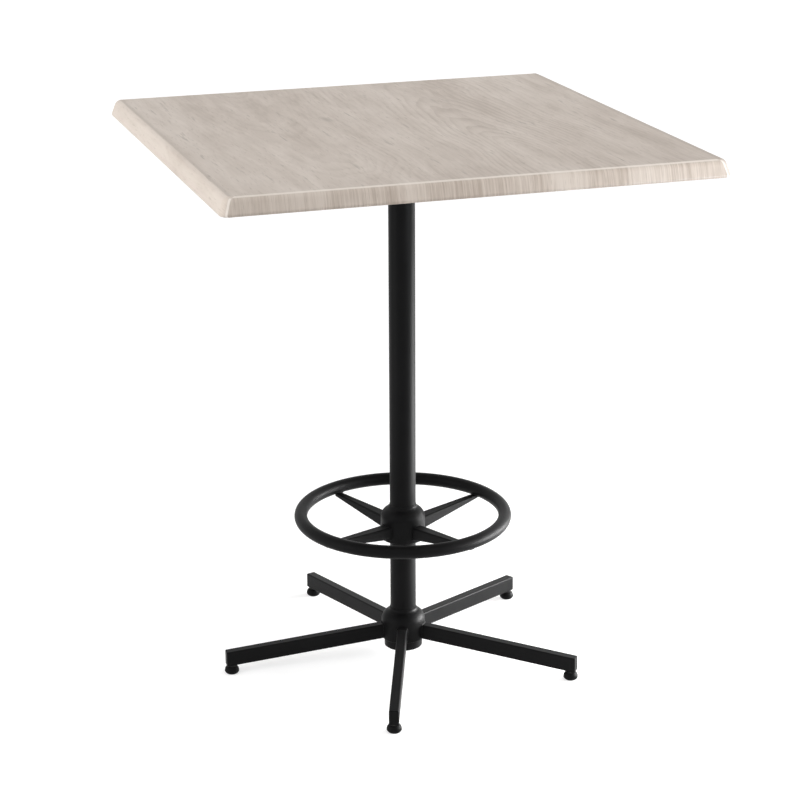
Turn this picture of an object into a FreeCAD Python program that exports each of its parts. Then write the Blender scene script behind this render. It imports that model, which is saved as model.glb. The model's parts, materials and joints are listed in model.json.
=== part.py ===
"""Bar-height pub table: square moulded top, round column, ring footrest and a five-legged base.

All lengths are in millimetres.  The origin is on the floor under the column, +Z is up and
X and Y run along the edges of the top.  Each sub-part is one labelled object, and its sizes
are bound to the sheet, so a change of one size there carries through to what it touches.
"""
import FreeCAD
import Part
import Sketcher
import math
import os
import re

from FreeCAD import Placement, Rotation, Vector

# ------------------------------------------------------------------ driving dimensions
SIZES = {
    # the whole table
    "overall_height": 1067.0,       # floor to the face of the top
    "weld_gap": 0.05,               # room between a round piece and what is welded round it
    # the top: a moulded panel, widest low on its edge, hollowed underneath inside a rim
    "top_width": 914.0,             # across the widest line of the edge
    "top_depth": 32.0,              # face of the top to the bottom of the rim
    "edge_rake": 9.0,               # how far the face stops short of the widest line
    "edge_band": 5.0,               # upright part of the edge, below the slope
    "shoulder_radius": 14.0,        # rounding between the face and the slope
    "lip_radius": 3.0,              # rounding between the upright part and the rim
    "corner_radius": 16.0,          # corners of the square, at the widest line
    "face_corner_radius": 13.0,     # corners of the square, at the face
    "rim_width": 45.0,              # flat rim under the edge
    "recess_depth": 8.0,            # how far the underside is hollowed inside the rim
    # the spider that carries the top
    "socket_wall": 5.0,
    "socket_length": 48.0,          # the sleeve round the head of the column
    "spider_disc_radius": 56.0,
    "spider_plate": 5.0,            # thickness of the disc and of the arms' flanges
    "spider_reach": 300.0,          # axis to the tip of an arm
    "spider_flange_width": 44.0,
    "spider_rib": 5.0,              # thickness of the rib under an arm
    "spider_rib_root": 26.0,        # depth of the rib at the sleeve
    "spider_rib_tip": 4.0,          # depth of the rib at the tip
    "spider_flange_round": 11.0,    # corners of an arm's flange
    "screw_inset": 30.0,            # tip of an arm to its pair of screws
    "screw_spread": 12.0,           # screw to the arm's middle line
    "screw_radius": 2.2,
    "screw_grip": 15.0,             # how far a screw goes into the panel
    "screw_neck_radius": 2.9,       # of the head, where the shank begins
    "screw_head_radius": 4.6,
    "screw_head_height": 2.6,
    # the column
    "column_radius": 25.4,
    "column_wall": 2.0,
    "plug_height": 14.0,            # threaded plug in the foot of the column
    # the ring footrest
    "ring_radius": 200.0,           # axis to the middle of the tube
    "ring_tube_radius": 12.7,
    "ring_height": 298.0,           # floor to the middle of the tube
    "ring_hub_radius": 43.5,
    "ring_hub_drop": 48.5,          # middle of the tube to the underside of the hub
    "ring_hub_wall": 43.0,          # height of the hub's upright wall
    "ring_hub_hollow": 30.0,        # depth of the hollow cast into the hub's underside
    "ring_hub_skin": 6.0,           # thickness of the walls on both sides of that hollow
    "spoke_root_width": 27.0,
    "spoke_root_depth": 26.0,
    "spoke_root_drop": 15.0,        # middle of the ring's tube to the top of a spoke at the hub
    "spoke_tip_width": 12.0,
    "spoke_tip_depth": 8.0,
    "spoke_tip_drop": 9.0,          # the same at the end of a spoke, under the tube
    "spoke_stop": 3.0,              # a spoke's tip stops this far short of the middle of the tube
    "spoke_root_round": 4.0,
    "spoke_tip_round": 2.0,
    "spoke_turn": 24.0,             # first spoke, turned from +X
    # the bell of both hubs, over the upright wall
    "bell_height": 20.0,
    "bell_throat": 5.0,             # the bell ends this far outside the column
    "bell_round": 22.0,             # radius of the bell's shoulder
    "neck_height": 7.0,
    "neck_lip": 1.0,                # wall of the neck where it ends on the column
    "neck_round": 9.0,              # radius of the hollow of the neck
    # the base
    "base_hub_radius": 43.0,
    "base_hub_over": 5.0,           # wall of the hub above the legs
    "base_hub_under": 2.0,          # and below them
    "boss_radius": 37.6,
    "boss_drop": 18.0,              # how far the boss hangs below the wide part
    "boss_wall": 7.6,
    "boss_hollow": 12.0,            # depth of the hollow round the bolt
    "boss_floor": 8.0,              # web between that hollow and the column
    "hub_edge": 2.0,                # rounding of a hub's lower edges
    "bolt_radius": 6.0,
    "bolt_hole_gap": 0.5,
    "bolt_head_flats": 19.0,
    "bolt_head_height": 7.0,
    "washer_radius": 14.0,
    "washer_thickness": 2.5,
    # the legs: rectangular tube that falls from the hub to the tip
    "leg_turn": 177.0,              # first leg, turned from +X
    "leg_reach": 360.0,             # axis to the end of a leg
    "leg_fall": 22.7,               # how much lower a leg is at its end than at the hub
    "leg_width": 19.0,
    "leg_depth": 30.0,
    "leg_wall": 1.5,
    "leg_edge": 2.5,                # rounding of the tube's long edges
    "leg_cap": 3.0,                 # thickness of the plate that closes the end
    "leg_cap_edge": 1.8,            # rounding of that plate's outer edge
    # the levelling feet
    "foot_inset": 11.0,             # end of a leg to the middle of its foot
    "insert_radius": 5.5,           # threaded insert in the leg's lower wall
    "insert_proud": 0.4,            # how far it stands out under the leg
    "insert_height": 17.0,
    "insert_drill": 6.0,            # depth of the hole for it, through the lower wall
    "stem_radius": 4.0,
    "stem_gap": 0.06,               # running clearance of the stem in the insert and the pad
    "stem_proud": 5.8,              # how far the stem stands over the insert
    "stem_collar_flats": 17.0,      # hexagon that a spanner turns, between pad and leg
    "stem_collar_height": 1.8,
    "stem_shown": 0.5,              # bare stem between that hexagon and the insert
    "pad_radius": 14.2,
    "pad_height": 15.4,
    "pad_sole_radius": 9.5,
    "pad_sole_round": 9.0,          # radius of the bulge below the waist
    "pad_crown_radius": 9.9,
    "pad_crown_round": 12.0,        # radius of the bulge above it
    "pad_waist": 5.0,               # floor to the line where the two bulges meet
    "pad_socket_floor": 3.0,        # thickness of the pad under the stem
}

LEGS = 5
SPOKES = 4
SPIDER_ARMS = 4
SPIDER_TURN = 45.0                  # the spider's arms point at the corners of the top
LEG_COPE = 6.0                      # a leg starts this far inside the hub before it is coped
SPOKE_COPE = 6.0                    # and so does a spoke
NEAR = 1e-3                         # two heights nearer than this are taken as one

doc = FreeCAD.newDocument("pub_table")
sheet = doc.addObject("Spreadsheet::Sheet", "Sizes")
for row, (alias, size) in enumerate(SIZES.items(), start=1):
    sheet.set("A%d" % row, alias.replace("_", " "))
    sheet.set("B%d" % row, str(size))
    sheet.setAlias("B%d" % row, alias)
doc.recompute()

SUB_PARTS = []

# ------------------------------------------------------------------ derived expressions
RIM_FOOT = "(overall_height - top_depth)"
PANEL_FOOT = "(overall_height - top_depth + recess_depth)"
COLUMN_HEAD = "(overall_height - top_depth + recess_depth - spider_plate)"
BORE = "(column_radius + weld_gap)"
SOCKET_RADIUS = "(column_radius + weld_gap + socket_wall)"
SCREW_CIRCLE = "(spider_reach - screw_inset)"
STEM_BORE = "(stem_radius + stem_gap)"
INSERT_FOOT = "(pad_height + stem_collar_height + stem_shown)"
STEM_TOP = f"({INSERT_FOOT} + insert_height + stem_proud)"
FOOT_CIRCLE = "(leg_reach - foot_inset)"
LEG_SLOPE = "(leg_fall / (leg_reach - base_hub_radius))"


def leg_top_at(reach):
    """Height of a leg's upper face at a distance from the axis, as an expression.

    The foot carries the leg, so the heights of its pieces add up to the leg's height there.
    """
    return f"({INSERT_FOOT} + insert_proud + leg_depth + {LEG_SLOPE} * ({FOOT_CIRCLE} - {reach}))"


BASE_HUB_FOOT = f"({leg_top_at('base_hub_radius')} - leg_depth - base_hub_under)"
BASE_HUB_WALL = "(base_hub_under + leg_depth + base_hub_over)"
BOSS_FOOT = f"({BASE_HUB_FOOT} - boss_drop)"
COLUMN_FOOT = f"({BOSS_FOOT} + boss_hollow + boss_floor)"
RING_HUB_FOOT = "(ring_height - ring_hub_drop)"
SPOKE_ROOT_TOP = "(ring_height - spoke_root_drop)"
SPOKE_TIP_TOP = "(ring_height - spoke_tip_drop)"
SPOKE_RISE = "((spoke_root_drop - spoke_tip_drop) / (ring_radius - ring_hub_radius))"


# ------------------------------------------------------------------ small helpers
def bound(expression):
    """The expression with each size read from the sheet."""
    def cell(match):
        word = match.group(0)
        return "Sizes." + word if word in SIZES else word
    return re.sub(r"[a-z]\w*", cell, expression)


def value(expression):
    """The number that an expression gives now."""
    return float(sheet.evalExpression(expression))


def keep(item, label):
    """Name a finished sub-part, which also names its file."""
    item.Label = label
    SUB_PARTS.append(item)
    return item


def turned(degrees):
    """A placement turned about the column's axis."""
    return Placement(Vector(0, 0, 0), Rotation(Vector(0, 0, 1), degrees))


def new_body(name):
    return doc.addObject("PartDesign::Body", name)


def sketch_on(body, name, plane, lift="0"):
    """A sketch on one of the body's own origin planes, moved along its normal."""
    sketch = body.newObject("Sketcher::SketchObject", name)
    support = next(item for item in body.Origin.OriginFeatures if item.Role == plane)
    sketch.AttachmentSupport = (support, [""])
    sketch.MapMode = "FlatFace"
    if lift != "0":
        sketch.setExpression("AttachmentOffset.Base.z", bound(lift))
    return sketch


def pin_point(sketch, edge, end, x, y):
    """Tie one point of a sketch to the place that two expressions give."""
    for axis, kind, where in ((-2, "DistanceX", x), (-1, "DistanceY", y)):
        if where == "0":
            sketch.addConstraint(Sketcher.Constraint("PointOnObject", edge, end, axis))
        else:
            number = sketch.addConstraint(
                Sketcher.Constraint(kind, -1, 1, edge, end, value(where)))
            sketch.setExpression(f"Constraints[{number}]", bound(where))


def arc_through(start, finish, radius):
    """The shorter arc between two points; a positive radius bulges to the right of the way."""
    chord = finish - start
    side = Vector(chord.y, -chord.x, 0).normalize()
    size = abs(radius)
    rise = size - math.sqrt(max(size * size - chord.Length ** 2 / 4, 0.0))
    crown = (start + finish) * 0.5 + side * math.copysign(rise, radius)
    return Part.Arc(start, crown, finish)


def outline(sketch, corners):
    """A closed outline.  A corner is (x, y), or (x, y, radius) at the end of an arc.

    Every entry is an expression.  A radius that starts with "-" bulges to the left.
    """
    points = [Vector(value(corner[0]), value(corner[1]), 0) for corner in corners]
    first = sketch.GeometryCount
    for index, corner in enumerate(corners):
        start = points[index - 1]
        if len(corner) == 2:
            sketch.addGeometry(Part.LineSegment(start, points[index]), False)
        else:
            sketch.addGeometry(arc_through(start, points[index], value(corner[2])), False)
    for index, corner in enumerate(corners):
        edge = first + index
        following = first + (index + 1) % len(corners)
        finish = points[index]
        end = near_end(sketch, edge, finish)
        start = near_end(sketch, following, finish)
        sketch.addConstraint(Sketcher.Constraint("Coincident", edge, end, following, start))
        pin_point(sketch, edge, end, corner[0], corner[1])
    for index, corner in enumerate(corners):
        if len(corner) == 3:
            size = corner[2].lstrip("-")
            number = sketch.addConstraint(
                Sketcher.Constraint("Radius", first + index, value(size)))
            sketch.setExpression(f"Constraints[{number}]", bound(size))


def near_end(sketch, edge, point):
    """Which end of an edge lies at a point: 1 for its start and 2 for its end."""
    here = sketch.getPoint(edge, 1)
    there = sketch.getPoint(edge, 2)
    return 1 if here.distanceToPoint(point) < there.distanceToPoint(point) else 2


def round_box(sketch, x, y, width, depth, radius):
    """A rectangle about (x, y) with rounded corners, drawn anticlockwise."""
    left, right = f"({x} - {width} / 2)", f"({x} + {width} / 2)"
    low, high = f"({y} - {depth} / 2)", f"({y} + {depth} / 2)"
    outline(sketch, [
        (f"{right} - {radius}", low), (right, f"{low} + {radius}", radius),
        (right, f"{high} - {radius}"), (f"{right} - {radius}", high, radius),
        (f"{left} + {radius}", high), (left, f"{high} - {radius}", radius),
        (left, f"{low} + {radius}"), (f"{left} + {radius}", low, radius),
    ])


def circle(sketch, x, y, radius):
    """A circle whose centre and radius are expressions."""
    centre = Vector(value(x), value(y), 0)
    edge = sketch.addGeometry(Part.Circle(centre, Vector(0, 0, 1), value(radius)), False)
    pin_point(sketch, edge, 3, x, y)
    number = sketch.addConstraint(Sketcher.Constraint("Radius", edge, value(radius)))
    sketch.setExpression(f"Constraints[{number}]", bound(radius))


def hexagon(sketch, flats):
    """A hexagon about the origin, given across its flats."""
    reach = f"({flats} / 2)"
    shoulder = f"({flats} / sqrt(3) / 2)"
    tip = f"({flats} / sqrt(3))"
    outline(sketch, [
        (reach, shoulder), ("0", tip), (f"-{reach}", shoulder),
        (f"-{reach}", f"-{shoulder}"), ("0", f"-{tip}"), (reach, f"-{shoulder}"),
    ])


def pad(body, sketch, length, symmetric=False):
    feature = body.newObject("PartDesign::Pad", sketch.Name + "_pad")
    feature.Profile = sketch
    feature.SideType = "Symmetric" if symmetric else "One side"
    feature.setExpression("Length", bound(length))
    sketch.Visibility = False
    return feature


def cut(body, sketch, length, upward):
    """A pocket; upward is the way it goes from the sketch, along the sketch's normal."""
    doc.recompute()
    before = body.Shape.Volume
    feature = body.newObject("PartDesign::Pocket", sketch.Name + "_cut")
    feature.Profile = sketch
    feature.Reversed = upward
    feature.setExpression("Length", bound(length))
    doc.recompute()
    if body.Shape.Volume >= before:
        raise RuntimeError(f"{feature.Name} cuts nothing")
    return feature


def turn(body, sketch, kind="PartDesign::Revolution"):
    """A full turn of a sketch about the body's Z axis."""
    feature = body.newObject(kind, sketch.Name + "_turned")
    feature.Profile = sketch
    feature.ReferenceAxis = (sketch, ["V_Axis"])
    feature.Angle = 360.0
    return feature


def loft(body, first, second, kind="PartDesign::AdditiveLoft"):
    feature = body.newObject(kind, first.Name + "_loft")
    feature.Profile = first
    feature.Sections = [second]
    feature.Ruled = True
    return feature


def around(body, feature, sketch, count):
    """Repeat a feature evenly about the body's Z axis."""
    pattern = body.newObject("PartDesign::PolarPattern", feature.Name + "_around")
    pattern.Originals = [feature]
    pattern.Axis = (sketch, ["N_Axis"])
    pattern.Angle = 360.0
    pattern.Occurrences = count
    body.Tip = pattern
    return pattern


def round_edges(body, radius, chosen):
    """Fillet the edges of the body's tip that a test on an edge chooses."""
    doc.recompute()
    base = body.Tip
    names = [f"Edge{number}" for number, edge in enumerate(base.Shape.Edges, start=1)
             if chosen(edge)]
    feature = body.newObject("PartDesign::Fillet", base.Name + "_round")
    feature.Base = (base, names)
    feature.setExpression("Radius", bound(radius))
    return feature


def at_height(height, reach="0"):
    """A test for edges that lie level at a height and outside a distance from the axis."""
    level, inner = value(height), value(reach)

    def test(edge):
        box = edge.BoundBox
        middle = edge.valueAt((edge.FirstParameter + edge.LastParameter) / 2)
        level_enough = abs(box.ZMin - level) < NEAR and abs(box.ZMax - level) < NEAR
        return level_enough and max(abs(middle.x), abs(middle.y)) > inner
    return test


# ------------------------------------------------------------------ the top
def table_top():
    """Square panel: the edge slopes out from the face to a rounded lip over a flat rim."""
    body = new_body("table_top_body")
    band = sketch_on(body, "top_band", "XY_Plane", RIM_FOOT)
    round_box(band, "0", "0", "top_width", "top_width", "corner_radius")
    pad(body, band, "edge_band")
    lip = sketch_on(body, "top_lip", "XY_Plane", f"{RIM_FOOT} + edge_band")
    round_box(lip, "0", "0", "top_width", "top_width", "corner_radius")
    face = sketch_on(body, "top_face", "XY_Plane", "overall_height")
    face_width = "(top_width - 2 * edge_rake)"
    round_box(face, "0", "0", face_width, face_width, "face_corner_radius")
    loft(body, lip, face)
    inside = "top_width / 2 - edge_rake * 3"
    round_edges(body, "shoulder_radius", at_height("overall_height", inside))
    round_edges(body, "lip_radius", at_height(RIM_FOOT, inside))

    recess = sketch_on(body, "top_recess", "XY_Plane", RIM_FOOT)
    recess_width = "(top_width - 2 * rim_width)"
    round_box(recess, "0", "0", recess_width, recess_width, "corner_radius")
    cut(body, recess, "recess_depth", upward=True)

    pilots = sketch_on(body, "top_pilots", "XY_Plane", PANEL_FOOT)
    for side in ("", "-"):
        circle(pilots, SCREW_CIRCLE, side + "screw_spread", "screw_radius + weld_gap")
    pilots.AttachmentOffset = Placement(
        pilots.AttachmentOffset.Base, Rotation(Vector(0, 0, 1), SPIDER_TURN))
    pilots.setExpression("AttachmentOffset.Base.z", bound(PANEL_FOOT))
    holes = cut(body, pilots, "screw_grip + weld_gap", upward=True)
    around(body, holes, pilots, SPIDER_ARMS)
    keep(body, "table_top")


def spider_socket():
    """Disc under the panel with a sleeve that takes the head of the column."""
    body = new_body("spider_socket_body")
    profile = sketch_on(body, "socket_profile", "XZ_Plane")
    outline(profile, [
        ("0", PANEL_FOOT), ("0", COLUMN_HEAD), (BORE, COLUMN_HEAD),
        (BORE, f"{COLUMN_HEAD} - socket_length"),
        (SOCKET_RADIUS, f"{COLUMN_HEAD} - socket_length"), (SOCKET_RADIUS, COLUMN_HEAD),
        ("spider_disc_radius", COLUMN_HEAD), ("spider_disc_radius", PANEL_FOOT),
    ])
    turn(body, profile)
    keep(body, "spider_socket")


def spider_arm(number):
    """T-shaped arm: a flat flange against the panel and a tapered rib under it."""
    body = new_body(f"spider_arm_{number}_body")
    inner = "spider_disc_radius / 2"
    length = f"(spider_reach - {inner})"
    flange = sketch_on(body, f"flange_{number}", "XY_Plane", COLUMN_HEAD)
    round_box(flange, f"({inner} + {length} / 2)", "0", length, "spider_flange_width",
              "spider_flange_round")
    pad(body, flange, "spider_plate")
    rib = sketch_on(body, f"rib_{number}", "XZ_Plane")
    rib_tip = "(spider_reach - spider_flange_width / 2)"
    outline(rib, [
        (inner, COLUMN_HEAD), ("column_radius", COLUMN_HEAD),
        ("column_radius", f"{COLUMN_HEAD} - spider_rib_root"),
        (SOCKET_RADIUS, f"{COLUMN_HEAD} - spider_rib_root"),
        (rib_tip, f"{COLUMN_HEAD} - spider_rib_tip"), (rib_tip, COLUMN_HEAD),
    ])
    pad(body, rib, "spider_rib", symmetric=True)
    disc = sketch_on(body, f"disc_cope_{number}", "XY_Plane", PANEL_FOOT)
    circle(disc, "0", "0", "spider_disc_radius + weld_gap")
    cut(body, disc, "spider_plate", upward=False)
    sleeve = sketch_on(body, f"sleeve_cope_{number}", "XY_Plane", PANEL_FOOT)
    circle(sleeve, "0", "0", f"{SOCKET_RADIUS} + weld_gap")
    cut(body, sleeve, "spider_plate + spider_rib_root + weld_gap", upward=False)
    holes = sketch_on(body, f"arm_holes_{number}", "XY_Plane", PANEL_FOOT)
    for side in ("", "-"):
        circle(holes, SCREW_CIRCLE, side + "screw_spread", "screw_radius + weld_gap")
    cut(body, holes, "spider_plate", upward=False)
    body.Placement = turned(SPIDER_TURN + (number - 1) * 360.0 / SPIDER_ARMS)
    keep(body, f"spider_arm_{number}")


def top_screws():
    """The screws that hold the panel on the spider: a shank and a tapered head each."""
    screws = []
    for arm in range(SPIDER_ARMS):
        for side in (1, -1):
            name = f"screw_{len(screws) + 1}"
            shank = doc.addObject("Part::Cylinder", name + "_shank")
            shank.setExpression("Radius", bound("screw_radius"))
            shank.setExpression("Height", bound("spider_plate + screw_grip"))
            shank.setExpression("Placement.Base.z", bound(COLUMN_HEAD))
            head = doc.addObject("Part::Cone", name + "_head")
            head.setExpression("Radius1", bound("screw_neck_radius"))
            head.setExpression("Radius2", bound("screw_head_radius"))
            head.setExpression("Height", bound("screw_head_height"))
            head.setExpression("Placement.Base.z", bound(f"{COLUMN_HEAD} - screw_head_height"))
            screw = doc.addObject("Part::Fuse", name)
            screw.Base = shank
            screw.Tool = head
            spot = Vector(value(SCREW_CIRCLE), side * value("screw_spread"), 0)
            turning = turned(SPIDER_TURN + arm * 360.0 / SPIDER_ARMS)
            screw.Placement = turning.multiply(Placement(spot, Rotation()))
            screws.append(screw)
    group = doc.addObject("Part::Compound", "top_screws_group")
    group.Links = screws
    keep(group, "top_screws")


# ------------------------------------------------------------------ the column
def column_tube():
    """Round tube from the web of the base hub to the disc of the spider."""
    outer = doc.addObject("Part::Cylinder", "column_outer")
    inner = doc.addObject("Part::Cylinder", "column_inner")
    outer.setExpression("Radius", bound("column_radius"))
    inner.setExpression("Radius", bound("column_radius - column_wall"))
    for cylinder in (outer, inner):
        cylinder.setExpression("Height", bound(f"{COLUMN_HEAD} - {COLUMN_FOOT}"))
        cylinder.setExpression("Placement.Base.z", bound(COLUMN_FOOT))
    tube = doc.addObject("Part::Cut", "column_tube_cut")
    tube.Base = outer
    tube.Tool = inner
    keep(tube, "column_tube")


def column_plug():
    """Thick disc welded in the foot of the column, threaded for the base bolt."""
    body = new_body("column_plug_body")
    profile = sketch_on(body, "plug_profile", "XY_Plane", COLUMN_FOOT)
    circle(profile, "0", "0", "column_radius - column_wall - weld_gap")
    circle(profile, "0", "0", "bolt_radius + weld_gap")
    pad(body, profile, "plug_height")
    keep(body, "column_plug")


def bell_over(wall_radius, wall_top):
    """Corners of a hub's outside from the top of its wall up to the neck on the column."""
    bell_top = f"({wall_top} + bell_height)"
    return [
        (wall_radius, wall_top),
        ("(column_radius + bell_throat)", bell_top, "bell_round"),
        (f"({BORE} + neck_lip)", f"{bell_top} + neck_height", "-neck_round"),
        (BORE, f"{bell_top} + neck_height"),
    ]


# ------------------------------------------------------------------ the ring footrest
def foot_ring_tube():
    """Tube bent into a full circle."""
    body = new_body("foot_ring_tube_body")
    profile = sketch_on(body, "ring_profile", "XZ_Plane")
    circle(profile, "ring_radius", "ring_height", "ring_tube_radius")
    turn(body, profile)
    keep(body, "foot_ring_tube")


def foot_ring_hub():
    """Cast bell round the column, hollowed from below between two walls."""
    body = new_body("foot_ring_hub_body")
    profile = sketch_on(body, "ring_hub_profile", "XZ_Plane")
    wall_top = f"({RING_HUB_FOOT} + ring_hub_wall)"
    hollow_top = f"({RING_HUB_FOOT} + ring_hub_hollow)"
    inner_skin = f"({BORE} + ring_hub_skin)"
    outer_skin = "(ring_hub_radius - ring_hub_skin)"
    outline(profile, [
        (BORE, RING_HUB_FOOT), (inner_skin, RING_HUB_FOOT), (inner_skin, hollow_top),
        (outer_skin, hollow_top), (outer_skin, RING_HUB_FOOT),
        ("(ring_hub_radius - hub_edge)", RING_HUB_FOOT),
        ("ring_hub_radius", f"{RING_HUB_FOOT} + hub_edge", "hub_edge"),
    ] + bell_over("ring_hub_radius", wall_top))
    turn(body, profile)
    keep(body, "foot_ring_hub")


def foot_ring_spoke(number):
    """Arm that tapers both ways from the hub and ends in a saddle under the ring's tube."""
    body = new_body(f"spoke_{number}_body")
    rise = f"({SPOKE_RISE} * {SPOKE_COPE})"
    root = sketch_on(body, f"spoke_root_{number}", "YZ_Plane", f"ring_hub_radius - {SPOKE_COPE}")
    round_box(root, "0", f"({SPOKE_ROOT_TOP} - {rise} - spoke_root_depth / 2)",
              "spoke_root_width", "spoke_root_depth", "spoke_root_round")
    tip = sketch_on(body, f"spoke_tip_{number}", "YZ_Plane", "ring_radius - spoke_stop")
    round_box(tip, "0", f"({SPOKE_TIP_TOP} - {SPOKE_RISE} * spoke_stop - spoke_tip_depth / 2)",
              "spoke_tip_width", "spoke_tip_depth", "spoke_tip_round")
    loft(body, root, tip)

    cope = sketch_on(body, f"spoke_cope_{number}", "XY_Plane", RING_HUB_FOOT)
    circle(cope, "0", "0", "ring_hub_radius + weld_gap")
    cut(body, cope, "ring_hub_wall", upward=True)
    saddle = sketch_on(body, f"saddle_{number}", "XZ_Plane")
    circle(saddle, "ring_radius", "ring_height", "ring_tube_radius + weld_gap")
    turn(body, saddle, "PartDesign::Groove")
    body.Placement = turned(value("spoke_turn") + (number - 1) * 360.0 / SPOKES)
    keep(body, f"foot_ring_spoke_{number}")


# ------------------------------------------------------------------ the base
def base_hub():
    """Cast hub: a bell on a wide wall for the legs, over a hollow boss for the bolt."""
    body = new_body("base_hub_body")
    profile = sketch_on(body, "base_hub_profile", "XZ_Plane")
    web = f"({BOSS_FOOT} + boss_hollow)"
    bolt_hole = "(bolt_radius + bolt_hole_gap)"
    wall_top = f"({BASE_HUB_FOOT} + {BASE_HUB_WALL})"
    outline(profile, [
        (bolt_hole, web), ("(boss_radius - boss_wall)", web),
        ("(boss_radius - boss_wall)", BOSS_FOOT),
        ("(boss_radius - hub_edge)", BOSS_FOOT),
        ("boss_radius", f"{BOSS_FOOT} + hub_edge", "hub_edge"),
        ("boss_radius", BASE_HUB_FOOT), ("(base_hub_radius - hub_edge)", BASE_HUB_FOOT),
        ("base_hub_radius", f"{BASE_HUB_FOOT} + hub_edge", "hub_edge"),
    ] + bell_over("base_hub_radius", wall_top) + [
        (BORE, COLUMN_FOOT), (bolt_hole, COLUMN_FOOT),
    ])
    turn(body, profile)
    keep(body, "base_hub")


def base_washer():
    """Flat washer under the web of the hub."""
    body = new_body("base_washer_body")
    ring = sketch_on(body, "washer_ring", "XY_Plane",
                     f"{BOSS_FOOT} + boss_hollow - washer_thickness")
    circle(ring, "0", "0", "washer_radius")
    circle(ring, "0", "0", "bolt_radius + bolt_hole_gap")
    pad(body, ring, "washer_thickness")
    keep(body, "base_washer")


def base_bolt():
    """Hexagon bolt from below, through the washer and the web into the plug."""
    body = new_body("base_bolt_body")
    head_top = f"({BOSS_FOOT} + boss_hollow - washer_thickness)"
    head = sketch_on(body, "bolt_head", "XY_Plane", f"{head_top} - bolt_head_height")
    hexagon(head, "bolt_head_flats")
    pad(body, head, "bolt_head_height")
    shank = sketch_on(body, "bolt_shank", "XY_Plane", head_top)
    circle(shank, "0", "0", "bolt_radius")
    pad(body, shank, f"({COLUMN_FOOT} + plug_height - {head_top})")
    keep(body, "base_bolt")


def leg(number):
    """Rectangular tube with upright ends: coped to the hub and holed for the foot's insert."""
    body = new_body(f"leg_{number}_body")
    ends = (f"(base_hub_radius - {LEG_COPE})", "(leg_reach - leg_cap)")
    skins = (("AdditiveLoft", "outer", "0"), ("SubtractiveLoft", "inner", "leg_wall"))
    for kind, name, inset in skins:
        sections = []
        for reach, end in zip(ends, ("root", "tip")):
            section = sketch_on(body, f"leg_{end}_{name}_{number}", "YZ_Plane", reach)
            round_box(section, "0", f"({leg_top_at(reach)} - leg_depth / 2)",
                      f"(leg_width - 2 * {inset})", f"(leg_depth - 2 * {inset})",
                      f"(leg_edge - {inset})")
            sections.append(section)
        loft(body, sections[0], sections[1], "PartDesign::" + kind)

    cope = sketch_on(body, f"leg_cope_{number}", "XY_Plane", BASE_HUB_FOOT)
    circle(cope, "0", "0", "base_hub_radius + weld_gap")
    cut(body, cope, BASE_HUB_WALL, upward=True)
    hole = sketch_on(body, f"insert_hole_{number}", "XY_Plane", INSERT_FOOT)
    circle(hole, FOOT_CIRCLE, "0", "insert_radius + weld_gap")
    cut(body, hole, "insert_drill", upward=True)
    body.Placement = turned(leg_angle(number))
    keep(body, f"leg_{number}")


def leg_angle(number):
    """Turn of a leg about the column, kept between -180 and 180 degrees."""
    degrees = value("leg_turn") + (number - 1) * 360.0 / LEGS
    return (degrees + 180.0) % 360.0 - 180.0


def leg_cap(number):
    """Plate that closes the end of a leg, with its outer edge rounded over."""
    body = new_body(f"leg_cap_{number}_body")
    inner_end = "(leg_reach - leg_cap)"
    plate = sketch_on(body, f"cap_plate_{number}", "YZ_Plane", inner_end)
    round_box(plate, "0", f"({leg_top_at(inner_end)} - leg_depth / 2)",
              "leg_width", "leg_depth", "leg_edge")
    pad(body, plate, "leg_cap")
    end = value("leg_reach")
    round_edges(body, "leg_cap_edge", lambda edge: edge.BoundBox.XMin > end - NEAR)
    body.Placement = turned(leg_angle(number))
    keep(body, f"leg_cap_{number}")


# ------------------------------------------------------------------ the levelling feet
def foot_place(number):
    """Placement that carries a foot, drawn on the axis, to its place under a leg."""
    return turned(leg_angle(number)).multiply(
        Placement(Vector(value(FOOT_CIRCLE), 0, 0), Rotation()))


def glide_insert(number):
    """Threaded insert welded upright in the lower wall of a leg."""
    body = new_body(f"insert_{number}_body")
    ring = sketch_on(body, f"insert_ring_{number}", "XY_Plane", INSERT_FOOT)
    circle(ring, "0", "0", "insert_radius")
    circle(ring, "0", "0", STEM_BORE)
    pad(body, ring, "insert_height")
    body.Placement = foot_place(number)
    keep(body, f"glide_insert_{number}")


def glide_stem(number):
    """Threaded stem with a thin hexagon that rests on the pad."""
    body = new_body(f"stem_{number}_body")
    shaft = sketch_on(body, f"stem_shaft_{number}", "XY_Plane", "pad_socket_floor")
    circle(shaft, "0", "0", "stem_radius")
    pad(body, shaft, f"({STEM_TOP} - pad_socket_floor)")
    collar = sketch_on(body, f"stem_collar_{number}", "XY_Plane", "pad_height")
    hexagon(collar, "stem_collar_flats")
    pad(body, collar, "stem_collar_height")
    body.Placement = foot_place(number)
    keep(body, f"glide_stem_{number}")


def glide_pad(number):
    """Bulging plastic pad with a flat sole and a socket for the end of the stem."""
    body = new_body(f"pad_{number}_body")
    profile = sketch_on(body, f"pad_profile_{number}", "XZ_Plane")
    outline(profile, [
        ("0", "0"), ("pad_sole_radius", "0"),
        ("pad_radius", "pad_waist", "pad_sole_round"),
        ("pad_crown_radius", "pad_height", "pad_crown_round"),
        (STEM_BORE, "pad_height"), (STEM_BORE, "pad_socket_floor"),
        ("0", "pad_socket_floor"),
    ])
    turn(body, profile)
    body.Placement = foot_place(number)
    keep(body, f"glide_pad_{number}")


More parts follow.
